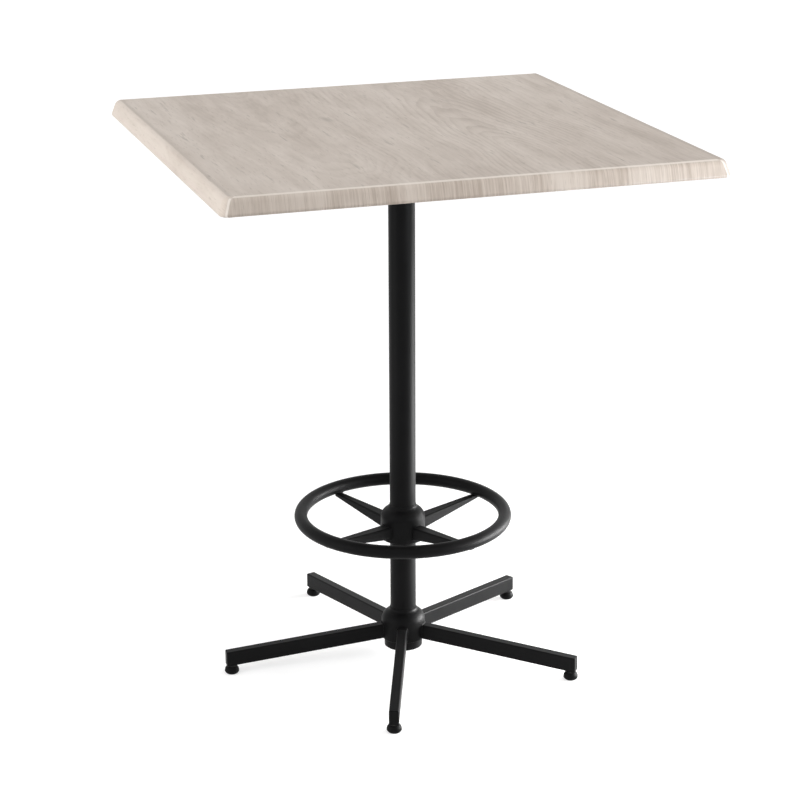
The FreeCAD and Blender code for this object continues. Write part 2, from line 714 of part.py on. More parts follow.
# ------------------------------------------------------------------ build, check and write
def build():
    table_top()
    spider_socket()
    for number in range(1, SPIDER_ARMS + 1):
        spider_arm(number)
    top_screws()
    column_tube()
    column_plug()
    foot_ring_tube()
    foot_ring_hub()
    for number in range(1, SPOKES + 1):
        foot_ring_spoke(number)
    base_hub()
    base_washer()
    base_bolt()
    for number in range(1, LEGS + 1):
        leg(number)
        leg_cap(number)
        glide_insert(number)
        glide_stem(number)
        glide_pad(number)
    doc.recompute()


def check():
    """Stop if any object failed to compute or any sub-part is not a sound solid."""
    for item in doc.Objects:
        if "Invalid" in item.State or "Error" in item.State:
            raise RuntimeError(f"{item.Name}: {item.State}")
    for item in SUB_PARTS:
        shape = item.Shape
        if shape.isNull() or not shape.isValid() or not shape.Solids:
            raise RuntimeError(f"{item.Label} is not a sound solid")


def write():
    os.makedirs("parts", exist_ok=True)
    for item in SUB_PARTS:
        item.Shape.exportStep(f"parts/{item.Label}.step")
        box = item.Shape.BoundBox
        print(f"{item.Label:20s} solids {len(item.Shape.Solids)}  volume {item.Shape.Volume:12.1f}"
              f"  z {box.ZMin:7.1f} to {box.ZMax:7.1f}")


build()
check()
write()
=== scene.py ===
# %% [markdown]
# # A bar-height pub table, dressed for a picture
#
# The table is already built as solids: a moulded square top, a round column, a ring
# footrest on four tapered spokes and five splayed legs on screw-in feet. What is left is
# what the eye reads last and remembers longest: whitewashed wood grain, black powder
# coat, weld beads, the threads of the feet, and the light of a plain studio.
#
# We start by loading the solids. Everything is in metres, the floor is z = 0 and the
# column stands on the origin. We keep the box of the bare solids, because nothing that
# we add may stick out of it.

import json
import math

import bpy
import numpy as np
from mathutils import Matrix, Vector


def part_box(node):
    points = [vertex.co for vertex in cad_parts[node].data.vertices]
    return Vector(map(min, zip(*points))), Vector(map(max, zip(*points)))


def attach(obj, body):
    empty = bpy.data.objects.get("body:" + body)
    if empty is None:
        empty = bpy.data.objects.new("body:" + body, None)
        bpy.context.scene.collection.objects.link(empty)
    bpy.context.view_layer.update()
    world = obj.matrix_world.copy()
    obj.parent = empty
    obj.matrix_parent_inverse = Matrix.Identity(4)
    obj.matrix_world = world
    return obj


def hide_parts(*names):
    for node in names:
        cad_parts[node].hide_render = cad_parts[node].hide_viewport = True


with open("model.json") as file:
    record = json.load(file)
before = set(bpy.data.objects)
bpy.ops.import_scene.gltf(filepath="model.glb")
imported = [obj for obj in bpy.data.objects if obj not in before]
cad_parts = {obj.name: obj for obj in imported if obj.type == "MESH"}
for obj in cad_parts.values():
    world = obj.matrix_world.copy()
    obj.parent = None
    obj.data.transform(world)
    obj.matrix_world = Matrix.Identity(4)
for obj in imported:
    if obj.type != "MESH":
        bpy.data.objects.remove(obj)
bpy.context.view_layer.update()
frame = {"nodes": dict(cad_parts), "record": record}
nodes = frame["nodes"]

# %% [markdown]
# ## Writing finishes as formulas
#
# A finish is a small network of nodes. Wired by hand in code it is hard to read, so we
# wrap a socket in a class that knows plus, minus, times and power. Then `1 - mask` or
# `0.4 + 0.2 * grain` adds the Math nodes by itself. Anything that isn't plain arithmetic
# comes from one method, `add`, which sets a node's settings and then fills its sockets.

# %% A socket that can be used in a formula
class Wire:
    """One output of a node. Arithmetic on it adds Math nodes to the same finish."""

    def __init__(self, finish, socket):
        self.finish, self.socket = finish, socket

    def math(self, operation, *values):
        """One Math node with these values in its sockets."""
        sockets = dict(enumerate(values))
        return self.finish.add("Math", {"operation": operation}, sockets)

    def __add__(self, other):
        return self.math("ADD", self, other)

    def __radd__(self, other):
        return self.math("ADD", other, self)

    def __sub__(self, other):
        return self.math("SUBTRACT", self, other)

    def __rsub__(self, other):
        return self.math("SUBTRACT", other, self)

    def __mul__(self, other):
        return self.math("MULTIPLY", self, other)

    def __rmul__(self, other):
        return self.math("MULTIPLY", other, self)

    def __pow__(self, other):
        return self.math("POWER", self, other)

    def fraction(self):
        return self.math("FRACT", self)

    def size(self):
        return self.math("ABSOLUTE", self)

    def larger(self, other):
        return self.math("MAXIMUM", self, other)

    def over(self, limit):
        """1 where the value is above the limit and 0 below it."""
        return self.math("GREATER_THAN", self, limit)

    def rising(self, low, high):
        """0 below low, 1 above high, and a smooth step between them."""
        return self.finish.add(
            "MapRange", {"interpolation_type": "SMOOTHSTEP"},
            {"Value": self, "From Min": low, "From Max": high})


# %% A finish: a material built node by node
class Finish:
    """A material whose nodes are added by `add` and by arithmetic on wires."""

    def __init__(self, name):
        self.material = bpy.data.materials.new(name)
        self.material.use_nodes = True
        self.tree = self.material.node_tree
        self.tree.nodes.clear()

    def add(self, kind, settings=None, sockets=None, output=0):
        """Add a node, set its settings, fill or link its sockets, and give one output."""
        node = self.tree.nodes.new("ShaderNode" + kind)
        for name, value in (settings or {}).items():
            if name == "stops":
                self.set_stops(node.color_ramp, value)
            else:
                setattr(node, name, value)
        for name, value in (sockets or {}).items():
            if isinstance(value, Wire):
                self.tree.links.new(value.socket, node.inputs[name])
            else:
                node.inputs[name].default_value = value
        return Wire(self, node.outputs[output]) if node.outputs else None

    @staticmethod
    def set_stops(ramp, stops):
        while len(ramp.elements) < len(stops):
            ramp.elements.new(0.5)
        for element, (place, colour) in zip(ramp.elements, stops):
            element.position = place
            element.color = (*colour, 1.0)

    def place(self):
        """Where a point of the surface is, in metres of the object."""
        return self.add("TexCoord", output="Object")

    def stretched(self, across, along, up):
        """The place with each axis scaled, so a pattern gets that many cells per metre."""
        return self.add("Mapping", {}, {"Vector": self.place(), "Scale": (across, along, up)})

    def noise(self, cells, detail=2.0, roughness=0.5, distortion=0.0):
        """Soft random values from 0 to 1, `cells` of them per metre along each axis."""
        return self.add("TexNoise", {}, {
            "Vector": self.stretched(*cells), "Scale": 1.0, "Detail": detail,
            "Roughness": roughness, "Distortion": distortion})

    def even_noise(self, cells, detail=2.0, roughness=0.5):
        """The same noise with as many cells per metre along all three axes."""
        return self.noise((cells, cells, cells), detail, roughness)

    def blend(self, mask, first, second):
        """The first colour where the mask is 0 and the second where it is 1."""
        factor, colour_a, colour_b, result = 0, 6, 7, 2
        return self.add("Mix", {"data_type": "RGBA"},
                        {factor: mask, colour_a: first, colour_b: second}, result)

    def bump(self, height, depth):
        """A surface normal from a height of 0 to 1 that stands for `depth` metres."""
        return self.add("Bump", {}, {"Height": height, "Strength": 1.0, "Distance": depth})

    def surface(self, **sockets):
        """End the finish in the main shader."""
        named = {name.replace("_", " "): value for name, value in sockets.items()}
        shader = self.add("BsdfPrincipled", {}, named)
        self.add("OutputMaterial", {}, {"Surface": shader})
        return self.material


def tone(red, green, blue):
    """A colour with the alpha that a colour socket wants."""
    return (red, green, blue, 1.0)


print("formulas ready")

# %% [markdown]
# ## The top: whitewashed wood
#
# The top is a moulded panel under a printed and pressed wood film. The grain runs along
# Y. Over the front and back edges the film is pulled down, so the grain goes on down the
# slope as fine upright streaks; along the other two edges it runs lengthwise.
#
# The growth lines are those of a board sawn from a leaning log. A growth ring is a
# cylinder about the pith, so the distance from the pith's line is what counts: to the
# sides of that line the rings are cut as straight streaks, above it as nested arches.
# Knots push the rings aside. Over that come streaks, mottled patches, short dark pores
# and a pale wash of pigment that fills the coarse ones.

# %% Colours of the wood
WASH_PALE = (0.606, 0.531, 0.466)
WASH_MIDDLE = (0.520, 0.445, 0.383)
WASH_DEEP = (0.414, 0.342, 0.286)
PORE = tone(0.270, 0.222, 0.184)
# painted highlight: the pale colour painted along the shoulder and down the corners
PAINTED_HIGHLIGHT = tone(0.800, 0.735, 0.668)
UNDERSIDE = tone(0.400, 0.360, 0.320)
UNDERSIDE_FLECK = tone(0.300, 0.262, 0.228)

top_low, top_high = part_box("table_top")
RIM_LEVEL = float(top_low[2])
FACE_LEVEL = float(top_high[2])
TOP_HALF = float(top_high[0])
print("top from", round(RIM_LEVEL, 4), "to", round(FACE_LEVEL, 4))


# %% Places on the film
ENDS_FADE = (0.0100, 0.0112)


class Film(Finish):
    """A finish whose places lie along the film. Over the side edges the film goes on
    across the grain: x + sign(x) * (level of the face - z). `corner` is |y| - |x|, so it
    is above zero towards the front and back edges, which are the ends of the board."""

    def __init__(self, name):
        super().__init__(name)
        bare = super().place()
        self.x, self.y, self.z = (self.add("SeparateXYZ", {}, {0: bare}, k) for k in range(3))
        self.from_middle = self.x.size().larger(self.y.size())
        self.corner = self.y.size() - self.x.size()
        self.ends = self.corner.rising(*ENDS_FADE)
        fold = self.x.math("SIGN", self.x) * (FACE_LEVEL - self.z) * (1.0 - self.ends)
        self.across = self.x + fold
        self.film = self.add("CombineXYZ", {}, {0: self.across, 1: self.y, 2: self.z})

    def place(self):
        return self.film


print("film folds over the edges at x, y =", round(TOP_HALF, 4))


# %% Noises drawn out along the board
SLOPE_FADE = (FACE_LEVEL - 0.0028, FACE_LEVEL - 0.0020)


class Grain(Film):
    """The film with its noises, from wide bands to single pores, and with masks for the
    slopes of the edges. Every noise has far more cells per metre across than along."""

    def __init__(self, name):
        super().__init__(name)
        self.knots = self.add("TexVoronoi", {"feature": "F1"}, {
            "Vector": self.stretched(4.6, 2.1, 2.1), "Scale": 1.0, "Randomness": 1.0})
        self.bands = self.noise((6.5, 0.9, 0.9), detail=2.0, roughness=0.45)
        self.patches = self.noise((24.0, 5.5, 5.5), detail=4.0, roughness=0.62,
                                  distortion=0.4)
        self.streaks = self.noise((62.0, 3.2, 3.2), detail=3.0, roughness=0.6)
        self.fibres = self.noise((420.0, 12.0, 12.0), detail=3.0, roughness=0.65)
        self.pores = self.noise((520.0, 34.0, 34.0), detail=1.0).rising(0.63, 0.74)
        self.coarse = self.noise((260.0, 9.0, 9.0), detail=2.0).rising(0.60, 0.74)
        ragged = self.noise((130.0, 12.0, 12.0), detail=2.0, roughness=0.6)
        self.dashes = (ragged + 0.5 * (self.patches - 0.5)).rising(0.62, 0.78)
        self.slope = 1.0 - self.z.rising(*SLOPE_FADE)
        self.upright = self.slope * self.ends
        self.lengthwise = self.slope * (1.0 - self.ends)


print("slopes begin at", round(SLOPE_FADE[1], 4))


# %% Growth rings
RINGS_PER_METRE = 92.0


def growth_rings(wood, pith, depth, lean, reach):
    """Darkness of the late wood: it rises slowly over each ring and drops at its end.
    The ring is the fraction of r / spacing, r = sqrt((x - pith)^2 + depth^2), where the
    depth of the pith grows along the board and knots push r outwards."""
    sway = wood.noise((1.2, 1.6, 1.0), detail=2.0)
    wobble = wood.noise((16.0, 2.6, 2.6), detail=3.0, roughness=0.6)
    side = wood.across - pith + 0.10 * (sway - 0.5)
    below = depth + lean * wood.y + 0.16 * (sway - 0.5)
    distance = (side * side + below * below) ** 0.5
    bulge = 0.012 * (1.0 - wood.knots.rising(0.02, 0.30))
    ring = (RINGS_PER_METRE * (distance + bulge) + 2.3 * wobble).fraction()
    late = ring.rising(0.35, 0.95) * (1.0 - ring.rising(0.95, 1.0))
    worn = wood.noise((9.0, 2.4, 2.4), detail=2.0).rising(0.36, 0.62)
    return late * (1.0 - distance.rising(0.08, reach)) * (0.35 + 0.65 * worn)


def two_boards(wood):
    """The rings about two piths, one to the right of the middle and a fainter one left."""
    return (growth_rings(wood, pith=0.135, depth=0.055, lean=0.13, reach=0.42)
            + 0.6 * growth_rings(wood, pith=-0.215, depth=0.085, lean=-0.16, reach=0.30))


print("a growth ring every", round(1000.0 / RINGS_PER_METRE, 1), "mm")


# %% Light and dark of the wood
LIP_SHADE_FADE = (RIM_LEVEL + 0.001, RIM_LEVEL + 0.007)


def upright_streaks(wood):
    """On the slopes of the front and back edges the film is stretched: strands, threads
    in them and a slow change along the edge; and painted shade, darker at the lip."""
    strands = wood.noise((330.0, 3.0, 9.0), detail=2.0, roughness=0.6)
    threads = wood.noise((850.0, 5.0, 16.0), detail=2.0, roughness=0.6)
    reach = wood.noise((30.0, 2.0, 4.0), detail=2.0)
    # painted shade: darker towards the bottom of the front and back slopes, at the lip
    lip_shade = 1.0 - wood.z.rising(*LIP_SHADE_FADE)
    return wood.upright * (0.04 + 1.25 * (strands - 0.5) + 0.95 * (threads - 0.5)
                           + 0.4 * (reach - 0.5) - 0.30 * lip_shade)


def shade_of(wood, late):
    """0 is the deepest wash and 1 the palest: a sum of noises about their middles, less
    the late wood of the rings, with painted light that makes the slopes of the side edges
    paler."""
    # painted light: 0.19 * lengthwise makes the slopes of the side edges paler
    return (0.53 + 1.20 * (wood.bands - 0.5) + 1.40 * (wood.patches - 0.5)
            + 0.62 * (wood.streaks - 0.5) + 0.35 * (wood.fibres - 0.5)
            - 0.30 * (late - 0.20) + 0.19 * wood.lengthwise + upright_streaks(wood))


print("lip from", round(LIP_SHADE_FADE[0], 4), "to", round(LIP_SHADE_FADE[1], 4))


# %% Pores, wash and knots
WASH_STOPS = [(0.10, WASH_DEEP), (0.50, WASH_MIDDLE), (0.90, WASH_PALE)]
KNOT_EYE = (0.010, 0.075)


def grained(wood):
    """The colour of the shade, then dark pores and dashes, the pale wash that fills the
    coarse ones, and the dark eyes of the knots. Dashes and eyes stay off the slopes."""
    late = two_boards(wood)
    flat = 1.0 - wood.slope
    body = wood.add("ValToRGB", {"stops": WASH_STOPS}, {0: shade_of(wood, late)})
    pored = wood.blend(0.30 * wood.pores + 0.55 * wood.dashes * flat, body, PORE)
    washed = wood.blend(0.26 * wood.coarse * (1.0 - late), pored, tone(*WASH_PALE))
    eye = 1.0 - (wood.knots + 0.08 * (wood.patches - 0.5)).rising(*KNOT_EYE)
    return wood.blend(0.50 * eye * flat, washed, PORE)


print("washes:", len(WASH_STOPS))

# %% [markdown]
# ### Painted light where the film turns over an edge
#
# The film is one sheet, pressed over the board. Along its edges a pale painted highlight
# runs along the shoulder and down the rounded corners of the square, and a ragged dark
# painted shade lies on the face beside the shoulder of the side edges. Extra pieces could
# carry them, but masks made from the height and from the distance to the edge stay
# exactly on the form.

# %% Painted highlight and painted shade along the edges
EDGE_WIDTH = 0.024
BROW_FOOT = (FACE_LEVEL - 0.0026, FACE_LEVEL - 0.0020)
BROW_HEAD = (FACE_LEVEL - 0.0006, FACE_LEVEL - 0.0002)
CORNER_HIGHLIGHT_FADE = (0.0050, 0.0064)
FACE_FADE = (FACE_LEVEL - 0.0004, FACE_LEVEL - 0.0001)
SIDE_FADE = (TOP_HALF - 0.027, TOP_HALF - 0.019)


def edge_lines(wood, colour):
    """Painted light where the film turns over an edge: a pale painted highlight along the
    shoulder, strongest on the front and back, and down the rounded corners of the square.
    Along the sides a ragged dark painted shade lies on the face beside the shoulder."""
    shoulder_highlight = wood.z.rising(*BROW_FOOT) * (1.0 - wood.z.rising(*BROW_HEAD))
    corner_highlight = wood.lengthwise * wood.corner.rising(*CORNER_HIGHLIGHT_FADE)
    outer = wood.from_middle.over(TOP_HALF - EDGE_WIDTH)
    # painted highlight: pale along the shoulder, stronger on the front and back, and down the
    # corners
    painted_highlight = outer * (shoulder_highlight * (0.14 + 0.66 * wood.ends)).larger(0.9 * corner_highlight)
    lined = wood.blend(painted_highlight, colour, PAINTED_HIGHLIGHT)
    # painted shade: a ragged dark line on the face beside the shoulder of the side edges
    shade_beside = wood.z.rising(*FACE_FADE) * wood.x.size().rising(*SIDE_FADE)
    return wood.blend(0.65 * shade_beside * wood.patches, lined, PORE)


print("lines within", EDGE_WIDTH, "of the edge")

# %% [markdown]
# ### The underside
#
# The film ends under the rim. Inside it the pressed board is bare: a dull brown with
# flecks of fibre. It is the same solid, so the height again tells the two apart.

# %% Bare board below, and the whole finish
RIM_WIDTH, RIM_SKIN, HOLLOW_DEPTH = 0.043, 0.0004, 0.016
FILM_RELIEF = 0.00009


def underside(wood):
    """Mask and colour of the bare moulded board: the rim, and the hollow inside it."""
    inside = 1.0 - wood.from_middle.over(TOP_HALF - RIM_WIDTH)
    hollow = inside * (1.0 - wood.z.over(RIM_LEVEL + HOLLOW_DEPTH))
    below = (1.0 - wood.z.over(RIM_LEVEL + RIM_SKIN)).larger(hollow)
    flecks = wood.even_noise(240.0, detail=3.0, roughness=0.7).rising(0.45, 0.7)
    return below, wood.blend(0.6 * flecks, UNDERSIDE, UNDERSIDE_FLECK)


def whitewashed_wood():
    """Grained film with painted highlight and painted shade along its edges, and bare board
    below.
    """
    wood = Grain("whitewashed wood")
    below, board = underside(wood)
    return wood.surface(
        Base_Color=wood.blend(below, edge_lines(wood, grained(wood)), board),
        Roughness=0.44 + 0.16 * (wood.fibres - 0.5) + 0.10 * wood.pores + 0.2 * below,
        Specular_IOR_Level=0.42,
        Normal=wood.bump(0.55 * wood.fibres + 0.45 * (1.0 - wood.pores), FILM_RELIEF))


wood_finish = whitewashed_wood()
print(wood_finish.name, len(wood_finish.node_tree.nodes), "nodes")

# %% [markdown]
# ## The frame: black powder coat
#
# Powder coat melts into a skin about a tenth of a millimetre thick. It isn't mirror
# smooth: a fine wrinkle about a millimetre across breaks up reflections, and a slower
# orange peel bends them. Both go into one bump. The black itself hardly varies.

# %% Powder coat, and a smoother one for welds
COAT_BLACK, COAT_WORN = tone(0.0026, 0.0026, 0.0028), tone(0.0038, 0.0038, 0.0040)


def powder_coat(name, wrinkle_depth, gloss_roughness):
    """Black with a fine wrinkle and a slow orange peel, both as heights of one bump."""
    coat = Finish(name)
    wrinkle = coat.even_noise(1100.0, detail=2.0, roughness=0.55)
    peel = coat.even_noise(130.0, detail=1.0)
    cloud = coat.even_noise(14.0, detail=3.0)
    return coat.surface(
        Base_Color=coat.blend(cloud.rising(0.3, 0.7), COAT_BLACK, COAT_WORN),
        Roughness=gloss_roughness + 0.10 * (wrinkle - 0.5) + 0.14 * (cloud - 0.5),
        Specular_IOR_Level=0.08,
        Sheen_Weight=0.02, Sheen_Roughness=0.40,
        Normal=coat.bump(0.6 * wrinkle + 0.8 * peel, wrinkle_depth))


coat_finish = powder_coat("black powder coat", wrinkle_depth=0.00010, gloss_roughness=0.46)
bead_finish = powder_coat("powder coat over a weld", wrinkle_depth=0.00006,
                          gloss_roughness=0.42)
print(coat_finish.name, "and", bead_finish.name)

# %% [markdown]
# ## Screws, inserts and stems: zinc plate
#
# Plated steel is a metal, so its colour is the colour of its reflection. The passivated
# layer is patchy: slightly bluish and yellowish clouds, and a roughness that follows them.
# The screws and inserts are passivated clear, the stems of the feet black.

# %% Zinc plate, clear and black
def zinc_plate(name, bluish, yellowish):
    """Clouds of two tints of metal, duller where the cloud is thick."""
    zinc = Finish(name)
    cloud = zinc.even_noise(160.0, detail=3.0)
    grit = zinc.even_noise(2400.0, detail=1.0)
    return zinc.surface(
        Base_Color=zinc.blend(cloud.rising(0.35, 0.65), bluish, yellowish), Metallic=1.0,
        Roughness=0.30 + 0.25 * cloud,
        Normal=zinc.bump(grit, 0.00002))


zinc_finish = zinc_plate("zinc plate", tone(0.50, 0.51, 0.54), tone(0.62, 0.60, 0.55))
stem_finish = zinc_plate("black zinc plate",
                         tone(0.030, 0.031, 0.034), tone(0.046, 0.044, 0.040))
print(zinc_finish.name, "and", stem_finish.name)

# %% [markdown]
# ## The feet: moulded black plastic
#
# The pads are injection moulded with a fine spark-eroded texture, and scuffed grey where
# they meet the floor.

# %% Moulded plastic
SCUFF_HEIGHT = 0.0022
PAD_BLACK, PAD_SCUFFED = tone(0.0045, 0.0045, 0.0047), tone(0.022, 0.021, 0.020)


def moulded_plastic():
    """Near black with a pebbled bump, paler and rougher in a ragged band at the floor."""
    plastic = Finish("moulded black plastic")
    pebble = plastic.even_noise(1500.0, detail=1.0)
    ragged = plastic.noise((420.0, 420.0, 90.0), detail=3.0)
    height = plastic.add("SeparateXYZ", {}, {0: plastic.place()}, "Z")
    scuff = 1.0 - (height + 0.0016 * (ragged - 0.5)).rising(0.0, SCUFF_HEIGHT)
    return plastic.surface(
        Base_Color=plastic.blend(0.35 * scuff, PAD_BLACK, PAD_SCUFFED),
        Roughness=0.48 + 0.12 * (pebble - 0.5) + 0.25 * scuff,
        Specular_IOR_Level=0.06,
        Normal=plastic.bump(pebble, 0.00005))


plastic_finish = moulded_plastic()
print(plastic_finish.name)

# %% [markdown]
# ## Each solid gets its finish
#
# The record names a material slot for every node, so one small table from slot to
# finish dresses them all.

# %% Dress the solids
FINISHES = {
    "whitewashed_wood_top": wood_finish,
    "black_powder_coat": coat_finish,
    "zinc_plated_steel": zinc_finish,
    "black_plastic_pad": plastic_finish,
}
slots = {part["node"]: part["material_slot"] for part in frame["record"]["subparts"]}


def dress(item, finish):
    """Put one finish on every slot of a solid."""
    if not item.material_slots:
        item.data.materials.append(finish)
    for slot in item.material_slots:
        slot.material = finish


for name, item in nodes.items():
    dress(item, FINISHES[slots[name]])
print("dressed", len(nodes), "solids")

# %% [markdown]
# ## New surfaces: grids of points
#
# Everything that we add is a grid of points worked out by numpy: one direction of the
# grid goes round a profile and the other goes along the piece. A grid that closes on
# itself has no seam, and an open end is closed with one point in its middle.

# %% From a grid of points to a mesh
def solid_from_grid(name, grid, finish, body, ends="capped"):
    """A mesh object from points[along, round]. `round` closes on itself; the ends are
    capped with a fan of triangles, or joined to each other."""
    along, around = grid.shape[:2]
    rows = np.arange(along if ends == "joined" else along - 1)
    row, column = np.meshgrid(rows, np.arange(around), indexing="ij")
    next_row = (row + 1) % along
    next_column = (column + 1) % around
    corners = (row * around + column, row * around + next_column,
               next_row * around + next_column, next_row * around + column)
    faces = np.stack(corners, axis=-1).reshape(-1, 4).tolist()
    points = grid.reshape(-1, 3)
    if ends == "capped":
        ring = np.arange(around)
        turn = (ring + 1) % around
        first, last = len(points), len(points) + 1
        far = (along - 1) * around
        points = np.vstack([points, grid[0].mean(axis=0), grid[-1].mean(axis=0)])
        for fan in ([turn, ring, np.full(around, first)],
                    [far + ring, far + turn, np.full(around, last)]):
            faces += np.stack(fan, axis=-1).tolist()
    mesh = bpy.data.meshes.new(name)
    mesh.from_pydata(points.tolist(), [], faces)
    mesh.shade_smooth()
    mesh.materials.append(finish)
    item = bpy.data.objects.new(name, mesh)
    bpy.context.scene.collection.objects.link(item)
    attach(item, body)
    return item


print("grids become meshes")


# %% Turning points and carrying a round profile
BEAD_SIDES = 12


def unit(vectors):
    """Each vector over its own length."""
    return vectors / np.linalg.norm(vectors, axis=-1, keepdims=True)


def full_turn(sides):
    """Even angles of one full turn, as a row."""
    return np.linspace(0.0, 2.0 * np.pi, sides, endpoint=False)[None, :]


def turned(points, degrees):
    """Points turned about the column: (x cos a - y sin a, x sin a + y cos a, z)."""
    angle = math.radians(degrees)
    across = np.array([[math.cos(angle), -math.sin(angle), 0.0],
                       [math.sin(angle), math.cos(angle), 0.0],
                       [0.0, 0.0, 1.0]])
    return points @ across.T


def round_bead(path, radii, side, closed=False):
    """A round profile carried along a path: point + radius * (cos a * n1 + sin a * n2),
    where n1 is square to the path and to `side`, and n2 is square to both."""
    if closed:
        run = unit(np.roll(path, -1, axis=0) - np.roll(path, 1, axis=0))
    else:
        run = unit(np.gradient(path, axis=0))
    first = unit(np.cross(run, side))
    second = np.cross(run, first)
    angle = full_turn(BEAD_SIDES)[..., None]
    return (path[:, None, :] + radii[:, None, None]
            * (np.cos(angle) * first[:, None, :] + np.sin(angle) * second[:, None, :]))


print("a bead has", BEAD_SIDES, "sides")

# %% [markdown]
# ## Weld beads
#
# The legs are welded to the wall of the base hub, up one side, over the top and down the
# other. The spokes of the footrest are welded to the wall of their own hub, all round, and
# the ring's tube is welded to the saddles at their tips. A bead is a round rope of metal
# laid in a corner, so a circle carried along the line of the corner is enough: half of it
# is buried. Two things make it read as a weld: small even ripples, and ends that taper
# away.

# %% Sizes that the beads follow
LEGS, SPOKES = range(1, 6), range(1, 5)


def centre_of(name):
    low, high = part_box(name)
    return (low + high) / 2


def width_of(name, axis):
    low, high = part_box(name)
    return float((high - low)[axis])


def bearing(name):
    """Direction of a piece seen from the column, in degrees."""
    middle = centre_of(name)
    return math.degrees(math.atan2(middle.y, middle.x))


HUB_WALL = width_of("base_hub", 0) / 2
LEG_WIDTH, LEG_DEPTH = 0.019, 0.030
LEG_FALL_AT_WALL = 0.0004
LEG_TOP = float(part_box("leg_1")[1].z) - LEG_FALL_AT_WALL
RING_LOW, RING_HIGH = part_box("foot_ring_tube")
TUBE = float(RING_HIGH.z - RING_LOW.z) / 2
RING_MIDDLE = float(RING_HIGH.z + RING_LOW.z) / 2
RING_RADIUS = float(RING_HIGH.x) - TUBE
print("hub wall", round(HUB_WALL, 4), "leg top", round(LEG_TOP, 4),
      "ring", round(RING_RADIUS, 4), round(RING_MIDDLE, 4))


# %% A line through corner points, and the radius of a bead along it
BEAD_STEP = 0.00035
RIPPLE_POINTS, RIPPLE_DEPTH, TAPER_POINTS = 5, 0.07, 8


def divided(corners, step=BEAD_STEP):
    """Points every `step` metres along straight runs between the corner points."""
    corners = np.asarray(corners, dtype=float)
    lengths = np.linalg.norm(np.diff(corners, axis=0), axis=1)
    reach = np.concatenate([[0.0], np.cumsum(lengths)])
    count = int(reach[-1] / step) + 1
    where = np.linspace(0.0, reach[-1], count)
    return np.stack([np.interp(where, reach, corners[:, k]) for k in range(3)], axis=1)


def softened(path, passes):
    """The path with each inner point moved halfway to the mean of its neighbours."""
    for _ in range(passes):
        path = path.copy()
        path[1:-1] = (path[:-2] + 2.0 * path[1:-1] + path[2:]) / 4.0
    return path


def rippled(count, radius):
    """Radius with a ripple every few points, and both ends drawn out to nothing."""
    place = np.arange(count)
    ripple = 1.0 + RIPPLE_DEPTH * np.sin(2.0 * np.pi * place / RIPPLE_POINTS)
    ends = np.minimum(place, count - 1 - place) / TAPER_POINTS
    return radius * ripple * np.sqrt(np.clip(ends, 0.02, 1.0))


def weld(name, grid, neighbour, ends="capped"):
    """A bead drawn along +X, turned to where the piece that it holds points."""
    return solid_from_grid(name, turned(grid, bearing(neighbour)), bead_finish,
                           "table", ends=ends)


print("a point every", BEAD_STEP, "m, a ripple every", RIPPLE_POINTS)


# %% Beads at the legs
LEG_BEAD, LEG_BEAD_FOOT, LEG_BEAD_CORNER, LEG_BEAD_PASSES = 0.0021, 0.002, 0.00075, 12


def leg_bead(number):
    """In the corner of leg and hub: x = sqrt(R^2 - y^2) on the hub, y and z round the leg."""
    half, foot = LEG_WIDTH / 2, LEG_TOP - LEG_DEPTH + LEG_BEAD_FOOT
    right_side = [(0, half - LEG_BEAD_CORNER, LEG_TOP), (0, half, LEG_TOP - LEG_BEAD_CORNER),
                  (0, half, foot)]
    left_side = [(x, -y, z) for x, y, z in reversed(right_side)]
    line = softened(divided(left_side + right_side), LEG_BEAD_PASSES)
    line[:, 0] = np.sqrt(HUB_WALL ** 2 - line[:, 1] ** 2)
    grid = round_bead(line, rippled(len(line), LEG_BEAD), np.array([1.0, 0.0, 0.0]))
    return weld(f"leg_bead_{number}", grid, f"leg_{number}")


leg_beads = [leg_bead(number) for number in LEGS]
print("leg beads", len(leg_beads), "of", len(leg_beads[0].data.polygons), "faces")

# %% Beads under the ring
RING_BEAD, RING_BEAD_PASSES = 0.0016, 8
SADDLE_START, SADDLE_END, SADDLE_POINTS = -100.0, -132.0, 16
SPOKE_TIP_HALF = 0.0061


def ring_bead(number):
    """Where the tube lies in the spoke's saddle: down the tube's side on the round
    (R + r cos a, r sin a), across the spoke on the inner side, and back along the other."""
    angle = np.radians(np.linspace(SADDLE_START, SADDLE_END, SADDLE_POINTS))
    x = RING_RADIUS + TUBE * np.cos(angle)
    z = RING_MIDDLE + TUBE * np.sin(angle)
    down = np.stack([x, np.full(SADDLE_POINTS, SPOKE_TIP_HALF), z], axis=1)
    back = down[::-1] * np.array([1.0, -1.0, 1.0])
    line = softened(divided(np.vstack([down, back])), RING_BEAD_PASSES)
    grid = round_bead(line, rippled(len(line), RING_BEAD), np.array([0.0, 0.0, 1.0]))
    return weld(f"ring_bead_{number}", grid, f"foot_ring_spoke_{number}")


ring_beads = [ring_bead(number) for number in SPOKES]
print("ring beads", len(ring_beads))

# %% Beads round the roots of the spokes
ROOT_BEAD = 0.0014
SPOKE_ROOT_HALF, SPOKE_ROOT_TOP, SPOKE_ROOT_DEPTH = 0.0134, 0.0150, 0.0258
SPOKE_ROOT_CORNER, CORNER_POINTS = 0.0040, 7
RING_HUB_WALL = width_of("foot_ring_hub", 0) / 2


